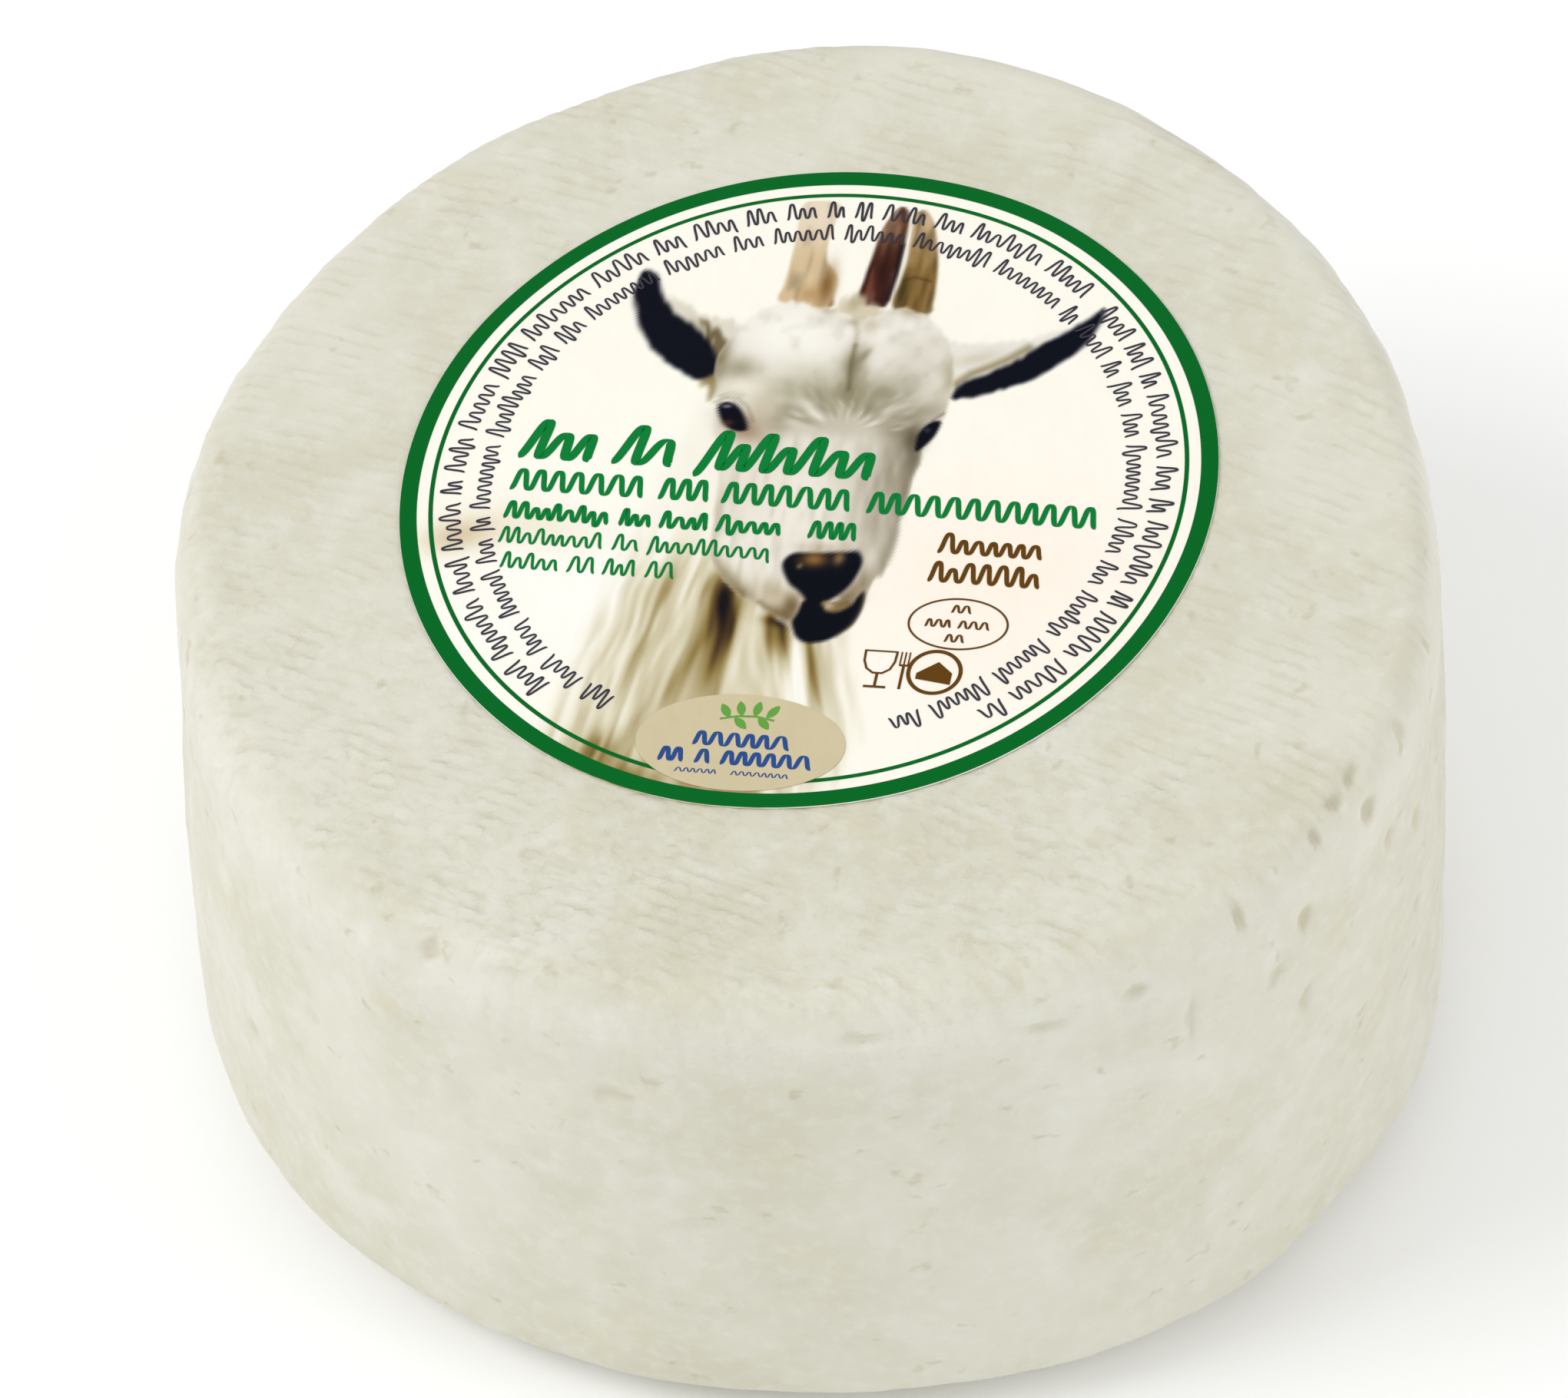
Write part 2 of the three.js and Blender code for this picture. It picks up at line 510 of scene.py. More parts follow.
def scattered_marks(tree, place, size, share, reach):
    """Small soft spots at random: the share of the cells that hold one, and how far it reaches."""
    cells = add_node(tree, "TexVoronoi", {"feature": "F1"}, Vector=place, Scale=1 / size)
    spot = span(tree, cells.outputs["Distance"], reach, 0.0)
    chosen = add_node(tree, "SeparateColor", Color=cells.outputs["Color"]).outputs["Red"]
    return times(tree, spot, maths(tree, "LESS_THAN", chosen, share))


def cloth_marks(tree, place, here, crumbled):
    """The cloth's thin uneven rows, the cracks and pits between crumbled lumps, and the lumps."""
    shift = shaken(tree, place, here, 900.0, (1.7, 0.9, 0), 3.0, 0.65)
    row = maths(tree, "DIVIDE", add_node(tree, "SeparateXYZ", Vector=shift).outputs["Y"], ROW_HEIGHT)
    off_row = maths(tree, "ABSOLUTE", maths(tree, "SUBTRACT", row, maths(tree, "ROUND", row)))
    strength = noise(tree, here, 210.0)
    line = times(tree, span(tree, off_row, 0.3, 0.0), span(tree, strength, 0.36, 0.68))
    in_cells = mapped(tree, shift, (1 / CELL_LENGTH, 1 / ROW_HEIGHT, 0))
    to_edge, to_middle = (
        add_node(tree, "TexVoronoi", {"feature": kind}, Vector=in_cells, Scale=1.0, Randomness=0.75)
        .outputs["Distance"] for kind in ("DISTANCE_TO_EDGE", "F1")
    )
    crack = span(tree, to_edge, 0.25, 0.0)
    crack = times(tree, crack, span(tree, noise(tree, here, 650.0), 0.45, 0.62, 0.0, 0.7))
    pit = times(tree, span(tree, to_middle, 0.5, 0.82), span(tree, strength, 0.45, 0.6))
    crack = times(tree, maths(tree, "MAXIMUM", crack, pit), crumbled)
    lump = times(tree, span(tree, to_middle, 0.75, 0.1), crumbled)
    return line, crack, lump


def curd_colour(tree, here, medium, fine, crumbled, rim):
    """Pale lumps, yellower hollows, a few whiter smears and a painted highlight along the rim."""
    broad = noise(tree, here, 48.0, 4.0, 0.6)
    smear = noise(tree, mapped(tree, here, (90, 90, 80)), 1.0, 4.0, distortion=0.8)
    yellow = times(tree, span(tree, medium, 0.5, 0.72), span(tree, broad, 0.62, 0.4))
    yellow = times(tree, yellow, maths(tree, "MULTIPLY_ADD", crumbled, 0.12, 0.38))
    on_rim = times(tree, rim, span(tree, medium, 0.35, 0.65, 0.0, 0.28))
    colour = blend_colours(tree, span(tree, broad, 0.35, 0.65), CURD_DEEP, CURD)
    colour = blend_colours(tree, maths(tree, "MAXIMUM", yellow, on_rim), colour, CURD_YELLOW)
    colour = blend_colours(tree, span(tree, fine, 0.42, 0.75, 0.0, 0.5), colour, CURD_PALE)
    # Painted highlight: the rim is whitened a little.
    colour = blend_colours(tree, times(tree, rim, 0.3), colour, CURD_WHITE)
    return blend_colours(tree, span(tree, smear, 0.5, 0.76, 0.0, 0.32), colour, CURD_WHITE)


def fresh_cheese():
    """Moist white curd: soft mottling, the cloth's print, crumbled lumps and nicks, with painted shade,
    darker and yellower, in the grooves, cracks, pits, nicks and dents.
    """
    made = Material(
        "fresh_cheese", roughness=0.6, Specular_IOR_Level=0.35,
        Subsurface_Weight=0.2, Subsurface_Radius=(1.0, 0.85, 0.55), Subsurface_Scale=0.002,
    )
    tree = made.tree
    here = made.add("TexCoord").outputs["Object"]
    place = made.stored("cloth_place", "Vector")
    printed_here, crumbled, dents, rim = map(made.stored, ("cloth_print", "crumbled", "dents", "rim"))
    medium = noise(tree, here, 150.0, 4.0, 0.6, distortion=0.4)
    fine = noise(tree, here, 520.0, 4.0, 0.65)

    line, crack, lump = cloth_marks(tree, place, here, crumbled)
    on_print = maths(tree, "MAXIMUM", printed_here, times(tree, rim, 0.7))
    line = times(tree, line, printed_here)
    crack = times(tree, crack, on_print)
    lump = times(tree, lump, on_print)
    wander = shaken(tree, here, here, 480.0, (0.004, 0.004, 0.004))
    nicks = scattered_marks(tree, mapped(tree, wander, (1, 1, 1.6)), 0.004, 0.5, 0.25)

    colour = curd_colour(tree, here, medium, fine, crumbled, rim)
    # Painted shade: the cloth's grooves, the cracks and pits, the nicks and the dents are darkened towards a
    # yellower tone, as shade in these hollows.
    for mark, share in ((line, 0.17), (crack, 0.2), (nicks, 0.38)):
        colour = blend_colours(tree, times(tree, mark, share), colour, HOLLOW_SHADE)
    colour = blend_colours(tree, span(tree, dents, 0.05, 0.5, 0.0, 0.42), colour, HOLLOW_SHADE)
    made.into(colour, "Base Color")
    made.into(span(tree, medium, 0.3, 0.75, 0.7, 0.5), "Roughness")

    height = times(tree, fine, 0.35)
    for mark, lift in ((line, -0.22), (crack, -0.4), (lump, 0.5), (nicks, -0.3), (medium, 0.75)):
        height = maths(tree, "MULTIPLY_ADD", mark, lift, height)
    made.raise_by(height, 0.6, 0.0004)
    return made.material


def paint(red, green, blue):
    """A colour as seen on a screen, from 0 to 255, as the light values that a material takes."""
    return tuple(float(c) for c in to_light(np.array([red, green, blue]) / 255)) + (1.0,)


def to_light(screen):
    return np.where(screen <= 0.04045, screen / 12.92, ((screen + 0.055) / 1.055) ** 2.4)


CURD = paint(215, 213, 198)
CURD_PALE = paint(221, 220, 209)
CURD_WHITE = paint(229, 229, 223)
CURD_DEEP = paint(206, 203, 184)
CURD_YELLOW = paint(210, 204, 175)
# Painted shade for the hollows, darker and yellower than the curd.
HOLLOW_SHADE = paint(176, 166, 128)


# ---------------------------------------------------------------- the label


def on_label(u, v, lift=0.0):
    """Points of the label's own upright face, in millimetres, laid on the cheese."""
    x = LABEL_MIDDLE[0] + u * math.cos(LABEL_TURN) - v * math.sin(LABEL_TURN)
    y = LABEL_MIDDLE[1] + u * math.sin(LABEL_TURN) + v * math.cos(LABEL_TURN)
    along, upward = x * math.cos(TOP_SLOPE), x * math.sin(TOP_SLOPE)
    height = LABEL_LIFT + lift + top_relief(along + TOP_OFFSET, y)
    return np.stack([
        TOP_OFFSET + along - height * math.sin(TOP_SLOPE), y,
        WHEEL_HEIGHT + upward + height * math.cos(TOP_SLOPE),
    ], axis=-1)


SHEET_STEPS = 290
UNDER_RINGS = 8


def round_grid():
    """An even grid of points over a disc, from an even grid over a square."""
    side = np.linspace(-1, 1, SHEET_STEPS + 1)
    a, b = np.meshgrid(side, side)
    a, b = a.ravel(), b.ravel()
    with np.errstate(divide="ignore", invalid="ignore"):
        wide = np.abs(a) > np.abs(b)
        reach = np.where(wide, a, b)
        turn = np.where(wide, math.pi / 4 * b / a, math.pi / 2 - math.pi / 4 * a / b)
    turn = np.where(reach == 0, 0, turn)
    return reach * np.cos(turn) * LABEL_RADIUS, reach * np.sin(turn) * LABEL_RADIUS


def make_label_sheet():
    u, v = round_grid()
    row = SHEET_STEPS + 1
    top = on_label(u, v)
    faces = [
        (j * row + i, j * row + i + 1, (j + 1) * row + i + 1, (j + 1) * row + i)
        for j in range(SHEET_STEPS) for i in range(SHEET_STEPS)
    ]
    last = SHEET_STEPS
    side = range(last)
    rim = [*side] + [i * row + last for i in side]
    rim += [last * row + last - i for i in side] + [(last - i) * row for i in side]
    around = len(rim)
    under = [
        on_label(u[rim] * share, v[rim] * share, -PAPER_THICKNESS)
        for share in np.linspace(1, 0, UNDER_RINGS, endpoint=False)
    ]
    first = len(top)
    middle = first + around * UNDER_RINGS
    for i in range(around):
        after = (i + 1) % around
        faces.append((rim[after], rim[i], first + i, first + after))
        for k in range(first, middle - around, around):
            faces.append((k + after, k + i, k + around + i, k + around + after))
        faces.append((middle - around + after, middle - around + i, middle))
    centre = on_label(np.zeros(1), np.zeros(1), -PAPER_THICKNESS)
    paper = printed("label_paper", None, 0.06, "portrait")
    sheet = link_mesh("label_sheet", np.vstack([top, *under, centre]), faces, paper)
    picture = np.ones((middle + 1, 4), np.float32)
    picture[:, :3] = to_light(np.array(PAPER_CREAM) / 255) * PAPER_WHITENESS
    picture[:first, :3] = to_light(goat_portrait(u, v)) * PAPER_WHITENESS
    made = sheet.data.attributes.new("portrait", "FLOAT_COLOR", "POINT")
    made.data.foreach_set("color", picture.ravel())
    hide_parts("paper_label")
    add_to_label(sheet)


def add_to_label(piece):
    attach(piece, "root")


# ---------------------------------------------------------------- print on paper

PAPER_CREAM = (254, 251, 238)
PAPER_WHITENESS = 0.92


def print_grain_group():
    """Fine paper fibre, and how the ink takes to it."""
    tree, come, go = node_group(
        "print_grain",
        [("Ink", "Color", (1, 1, 1, 1)), ("Mottle", "Float", 0.1), ("Fibre", "Float", 900.0)],
        [("Colour", "Color"), ("Roughness", "Float"), ("Height", "Float")],
    )
    here = add_node(tree, "TexCoord").outputs["Object"]
    fibre = noise(tree, mapped(tree, here, (1.0, 0.35, 1.0)), come.outputs["Fibre"], 3.0, 0.6)
    cloud = noise(tree, here, 160.0)
    uneven = maths(tree, "ADD", times(tree, fibre, 0.6), times(tree, cloud, 0.4))
    share = times(tree, span(tree, uneven, 0.35, 0.65), come.outputs["Mottle"])
    colour = blend_colours(tree, share, come.outputs["Ink"], paint(216, 212, 203), "MULTIPLY")
    tree.links.new(colour, go.inputs["Colour"])
    tree.links.new(span(tree, uneven, 0.3, 0.7, 0.36, 0.5), go.inputs["Roughness"])
    tree.links.new(fibre, go.inputs["Height"])
    return tree


def printed(name, ink, mottle, picture=None):
    """A printed surface: one ink, or the picture that the sheet holds."""
    made = Material(name, roughness=0.5, Specular_IOR_Level=0.05)
    grain = made.tree.nodes.new("ShaderNodeGroup")
    grain.node_tree = bpy.data.node_groups.get("print_grain") or print_grain_group()
    grain.inputs["Mottle"].default_value = mottle
    if picture:
        made.tree.links.new(made.stored(picture, "Color"), grain.inputs["Ink"])
    else:
        grain.inputs["Ink"].default_value = ink
    made.into(grain.outputs["Colour"], "Base Color")
    made.into(grain.outputs["Roughness"], "Roughness")
    made.raise_by(grain.outputs["Height"], 0.25, 0.00004)
    return made.material


# ---------------------------------------------------------------- the goat's portrait


OUTLINE_STEPS = 6


def smooth_outline(corners):
    """A closed smooth curve through the corners."""
    corners = np.array(corners, float)
    before, after, beyond = (np.roll(corners, k, 0) for k in (1, -1, -2))
    parts = []
    for t in np.arange(OUTLINE_STEPS) / OUTLINE_STEPS:
        parts.append(0.5 * (
            2 * corners + (after - before) * t
            + (2 * before - 5 * corners + 4 * after - beyond) * t**2
            + (3 * corners - before - 3 * after + beyond) * t**3
        ))
    return np.stack(parts, 1).reshape(-1, 2)


def depth_inside(u, v, outline):
    """How far each point lies inside a closed outline, in millimetres, less than 0 outside."""
    ends = np.roll(outline, -1, 0)
    nearest = np.full(len(u), np.inf)
    inside = np.zeros(len(u), bool)
    for (ax, ay), (bx, by) in zip(outline, ends):
        dx, dy = bx - ax, by - ay
        share = np.clip(((u - ax) * dx + (v - ay) * dy) / (dx * dx + dy * dy + 1e-12), 0, 1)
        nearest = np.minimum(nearest, (u - ax - share * dx) ** 2 + (v - ay - share * dy) ** 2)
        if ay != by:
            crosses = ((ay > v) != (by > v)) & (u < dx * (v - ay) / dy + ax)
            inside ^= crosses
    return np.where(inside, 1, -1) * np.sqrt(nearest)


class Picture:
    """Colours painted over the label's points in layers, the first one underneath."""

    def __init__(self, u, v, paper):
        self.u, self.v = u, v
        self.colour = np.tile(np.array(paper, float), (len(u), 1))

    def lay(self, where, colour, share):
        share = (np.asarray(share) * np.ones(len(self.u[where])))[:, None]
        self.colour[where] = self.colour[where] * (1 - share) + np.asarray(colour, float) * share

    def near(self, low, high, margin):
        u, v = self.u, self.v
        return np.flatnonzero(
            (u > low[0] - margin) & (u < high[0] + margin) & (v > low[1] - margin) & (v < high[1] + margin)
        )

    def dab(self, middle, reach, colour, share=1.0, turn=0.0, inside=None):
        """A soft oval touch of the brush, kept inside a shape if one is given."""
        if inside:
            where, cover = inside
        else:
            where = self.near(np.subtract(middle, max(reach)), np.add(middle, max(reach)), 1.2 * max(reach))
            cover = 1
        x, y = self.u[where] - middle[0], self.v[where] - middle[1]
        c, s = math.cos(math.radians(turn)), math.sin(math.radians(turn))
        far = ((x * c + y * s) / reach[0]) ** 2 + ((y * c - x * s) / reach[1]) ** 2
        self.lay(where, colour, share * cover * np.exp(-far))

    def dabs(self, touches, inside=None):
        for touch in touches:
            self.dab(*touch, inside=inside)

    def shape(self, corners, colour, soft=0.2, share=1.0, ragged=0.0, seed=0):
        """A filled shape with a soft edge, which fur makes ragged."""
        outline = smooth_outline(corners)
        where = self.near(outline.min(0), outline.max(0), 1 + soft)
        u, v = self.u[where], self.v[where]
        if ragged:
            spots = flat(u, v)
            u = u + ragged * soft_random(spots, (0.5, 1.6, 1), 50 + seed)
            v = v + ragged * soft_random(spots, (0.5, 1.6, 1), 60 + seed)
        cover = smooth_step(depth_inside(u, v, outline), -soft, soft)
        self.lay(where, colour, cover * share)
        return where, cover

    def stroke(self, points, width, colour, share=1.0, soft=0.25):
        """A soft line through the points."""
        points = np.array(points, float)
        where = self.near(points.min(0), points.max(0), width + 2 * soft)
        u, v = self.u[where], self.v[where]
        nearest = np.full(len(u), np.inf)
        for (ax, ay), (bx, by) in zip(points, points[1:]):
            dx, dy = bx - ax, by - ay
            along = np.clip(((u - ax) * dx + (v - ay) * dy) / (dx * dx + dy * dy), 0, 1)
            nearest = np.minimum(nearest, np.hypot(u - ax - along * dx, v - ay - along * dy))
        self.lay(where, colour, share * smooth_step(-nearest, -width / 2 - soft, -width / 2 + soft))


def fleece_tone(tone):
    """Fleece from white through beige and olive brown to nearly black, for a tone from 0 to 1."""
    levels = [0, 0.15, 0.35, 0.6, 0.82, 1.0]
    colours = np.array([
        (252, 249, 238), (236, 230, 208), (204, 194, 160), (142, 120, 66), (74, 54, 30), (22, 16, 20),
    ])
    return np.stack([np.interp(tone, levels, colours[:, k]) for k in range(3)], axis=1)


def paint_neck(picture):
    """Long straight fleece below the face: pale on the left, with deep shade under the jaw."""
    outline = smooth_outline([
        (-9.6, 7), (-11.2, 2), (-12.6, -5), (-13.3, -12), (-15.0, -19), (-16.2, -25), (-17, -35),
        (-6, -36), (4, -35), (8.0, -28), (6.9, -22.5), (5.8, -18), (5, -14), (0, -10), (-5, 0),
    ])
    where = picture.near(outline.min(0), outline.max(0), 3)
    u, v = picture.u[where], picture.v[where]
    x = u + 0.25 * smooth_step(u, -3, 1) * np.minimum(v + 15, 0) - 0.12 * smooth_step(-u, 3, 9) * (v + 10)
    tone = 0.04 + 0.17 * smooth_step(-v, 5, 12)
    for middle, reach, change in NECK_TONES:
        far = ((x - middle[0]) / reach[0]) ** 2 + ((v - middle[1]) / reach[1]) ** 2
        tone = tone + change * np.exp(-far)
    strands = flat(x + 0.3 * soft_random(flat(u, v), 4, 71), v)
    tone = tone + 0.15 * soft_random(strands, (0.45, 3.5, 1), 72) * smooth_step(-v, 4, 11)
    tone = tone + 0.12 * soft_random(strands, (0.9, 7, 1), 73) * smooth_step(-v, 6, 13)
    ragged = u + 0.9 * soft_random(strands, (0.7, 5, 1), 74)
    cover = smooth_step(depth_inside(ragged, v, outline), -2.0, 1.4)
    picture.lay(where, fleece_tone(np.clip(tone, 0, 1)), cover)


# Where the fleece below the face is darker or paler: middle, reach, change of tone.
NECK_TONES = (
    ((-10.4, -19), (1.2, 8), 0.06), ((-8.0, -16), (1.1, 6), 0.07), ((-7.0, -25), (1.4, 4), 0.08),
    ((-9.6, -30.4), (2.6, 2.6), 0.4), ((-6.3, -33), (3.2, 1.8), 0.36), ((-4.6, -24), (1.6, 4.0), 0.18),
    ((-4.6, -16.5), (1.6, 5.5), 0.4), ((-4.5, -13.4), (0.9, 2.6), 0.36), ((-5.6, -12.0), (1.2, 2.0), 0.2),
    ((-0.6, -18.5), (0.4, 4.5), 0.26), ((0.6, -18.0), (0.5, 3.0), 0.2), ((-2.4, -19), (0.9, 5), -0.05),
    ((1.65, -20.0), (0.42, 4.5), -0.4), ((2.85, -19.6), (0.55, 4.5), 0.5), ((3.9, -19.5), (0.5, 4.5), 0.12),
    ((0.4, -15.2), (1.6, 0.6), 0.3), ((-11.4, -12), (1.2, 6), -0.1), ((-9.4, -13), (0.8, 6), 0.22),
    ((-3.5, -15.8), (0.8, 4.2), 0.4), ((-0.4, -16.4), (0.8, 3.4), 0.26), ((0.9, -15.8), (0.7, 3.2), 0.42),
)


def paint_ears(picture):
    """Pale fur on the ears' upper side, an olive seam, and the black lower blades."""
    black = (7, 10, 24)
    picture.shape([
        (-16.3, 19.2), (-14.6, 18.7), (-12.0, 17.5), (-9.0, 16.8), (-8.6, 14.6), (-9.8, 12.6),
        (-10.8, 12.4), (-12.3, 14.6), (-14.9, 17.0),
    ], (219, 213, 196), 0.45, 0.9, 0.5, 1)
    picture.dab((-12.4, 16.0), (1.4, 0.6), (170, 160, 132), 0.6, -38)
    picture.shape([
        (-11.8, 12.4), (-10.2, 12.8), (-9.7, 11.0), (-9.6, 9.0), (-9.9, 8.0), (-10.7, 9.4), (-11.6, 10.8),
    ], (138, 122, 72), 0.45, 0.85, 0.35, 2)
    picture.shape([
        (-12.6, 16.8), (-11.0, 15.8), (-9.9, 14.2), (-9.9, 12.7), (-10.8, 12.6), (-11.6, 15.0),
    ], (98, 82, 48), 0.4, 0.85, 0.4, 4)
    picture.dab((-10.6, 11.4), (0.8, 1.0), (92, 62, 40), 0.75)
    picture.shape([
        (-18.95, 21.6), (-18.2, 22.2), (-17.4, 21.8), (-16.8, 20.4), (-16.0, 18.8), (-14.9, 17.4),
        (-13.4, 16.4), (-12.0, 15.3), (-11.0, 14.0), (-10.3, 12.6), (-10.1, 11.3), (-10.8, 10.4),
        (-11.7, 10.1), (-12.8, 10.7), (-14.5, 11.8), (-16.1, 13.3), (-17.5, 15.3), (-18.4, 17.3),
        (-18.9, 19.3),
    ], black, 0.34, 1.0, 0.14, 6)
    picture.shape([
        (9.0, 15.8), (10.8, 16.2), (13.6, 16.5), (16.3, 17.2), (18.7, 18.4), (19.3, 18.2), (17.6, 16.6),
        (15.4, 14.3), (12.9, 12.5), (11, 10.9), (10.0, 12),
    ], (233, 229, 218), 0.4, 0.95, 0.25, 3)
    seam = [(10.8, 11.6), (12.0, 12.9), (13.6, 13.9), (15.0, 14.9), (16.4, 16.2)]
    picture.stroke(seam, 0.7, (128, 112, 72), 0.75, 0.5)
    picture.dab((12.2, 14.6), (2.2, 0.7), (200, 192, 168), 0.6, 22)
    picture.shape([
        (10.7, 10.0), (11.0, 11.1), (11.8, 12.0), (12.9, 12.7), (14.2, 13.6), (15.4, 14.5),
        (16.5, 15.6), (17.6, 16.8), (19.2, 18.1), (20.8, 19.7), (22.0, 21.1), (22.2, 20.1),
        (21.8, 18.6), (21.1, 16.9), (20.0, 15.4), (18.6, 13.9), (17.1, 12.6), (15.5, 11.7),
        (13.8, 10.9), (12.2, 10.2),
    ], black, 0.34, 1.0, 0.12, 7)


# Horns: outline, the colour of the foot and of the top.
HORNS = (
    ([(-6.0, 19.5), (-6.1, 21.5), (-6.0, 23.8), (-6.0, 26.5), (-6.1, 29.3), (-5.8, 31.1), (-3.0, 31.1),
      (-3.0, 29.3), (-3.2, 27.0), (-2.9, 24.7), (-2.1, 23.6), (-1.5, 22.5), (-1.5, 20.6), (-1.7, 19.3)],
     (214, 190, 150), (234, 220, 196)),
    ([(0.7, 20.1), (0.8, 22.9), (1.0, 25.6), (1.3, 28.4), (2.0, 30.6), (2.6, 31.3), (3.3, 30.6),
      (3.5, 28.4), (3.6, 25.2), (3.5, 22.9), (3.3, 20.1), (2.6, 19.7)],
     (66, 30, 22), (120, 82, 56)),
    ([(3.9, 19.7), (4.0, 22.9), (4.1, 25.2), (4.0, 27.5), (3.9, 29.3), (3.8, 30.6), (4.7, 31.0),
      (5.6, 29.7), (6.3, 27.5), (6.8, 25.2), (7.1, 22.9), (7.2, 20.6), (7.0, 19.3)],
     (134, 104, 54), (202, 174, 136)),
)


def paint_horns(picture):
    """Three horns with bark-like streaks along them."""
    for seed, (corners, low, high) in enumerate(HORNS):
        where, cover = picture.shape(corners, low, 0.22)
        u, v = picture.u[where], picture.v[where]
        picture.lay(where, high, cover * smooth_step(v, 24.0, 29.5) * 0.9)
        streak = soft_random(flat(u, v), (0.45, 2.6, 1), 80 + seed)
        picture.lay(where, np.array(low) * 0.5, cover * np.clip(streak, 0, 1) * 0.7)
        picture.lay(where, (246, 232, 204), cover * np.clip(-streak - 0.2, 0, 1) * 0.5)
    picture.dabs([
        ((-2.3, 21.6), (0.7, 2.4), (128, 90, 46), 0.85), ((-3.6, 20.6), (1.2, 1.0), (176, 134, 84), 0.6),
    ])
    picture.stroke([(3.2, 20.6), (3.4, 23.5), (3.4, 27)], 0.35, (20, 12, 22), 0.85, 0.3)
    picture.dab((1.4, 21.5), (0.35, 1.8), (150, 90, 62), 0.6)
    picture.stroke([(4.2, 22.9), (5.2, 23.4), (6.6, 23.0)], 0.18, (80, 52, 26), 0.8, 0.25)
    picture.dabs([
        ((4.3, 21.2), (0.4, 2.2), (62, 50, 22), 0.85), ((6.9, 20.6), (0.3, 1.6), (84, 66, 30), 0.7),
    ])


HEAD = (
    (-10.0, 11.2), (-10.15, 12.7), (-9.8, 14.1), (-9.0, 16.1), (-8.0, 17.8), (-6.9, 19.0), (-5.3, 19.6),
    (-3.7, 19.4), (-2.6, 19.0), (-1.5, 19.2), (-0.3, 18.8), (0.8, 18.2), (1.7, 18.0), (2.6, 18.8),
    (3.8, 19.5), (5.4, 19.6), (7.0, 18.8), (8.3, 17.7), (9.4, 16.3), (10.1, 14.7), (10.5, 12.9),
    (10.6, 10.9), (10.5, 9.3), (10.4, 7.7), (10.2, 6.2), (9.5, 4.4), (9.2, 2.4), (9.0, 0.2),
    (8.9, -2.5), (8.8, -4.8), (8.7, -7.1), (8.3, -9.2), (7.6, -10.6), (7.2, -11.8), (7.2, -13.4),
    (6.9, -14.8), (6.1, -16.1), (4.9, -16.9), (3.3, -17.2), (2.1, -16.8), (1.3, -15.7), (-0.4, -14.6),
    (-1.6, -13.8), (-3.2, -13.0), (-5.0, -11.5), (-6.3, -9.6), (-6.9, -7.1), (-7.2, -4.4), (-7.5, -1.6),
    (-7.8, 1.1), (-8.3, 2.9), (-9.0, 5.0), (-9.4, 6.8), (-9.5, 8.4), (-9.6, 9.8),
)
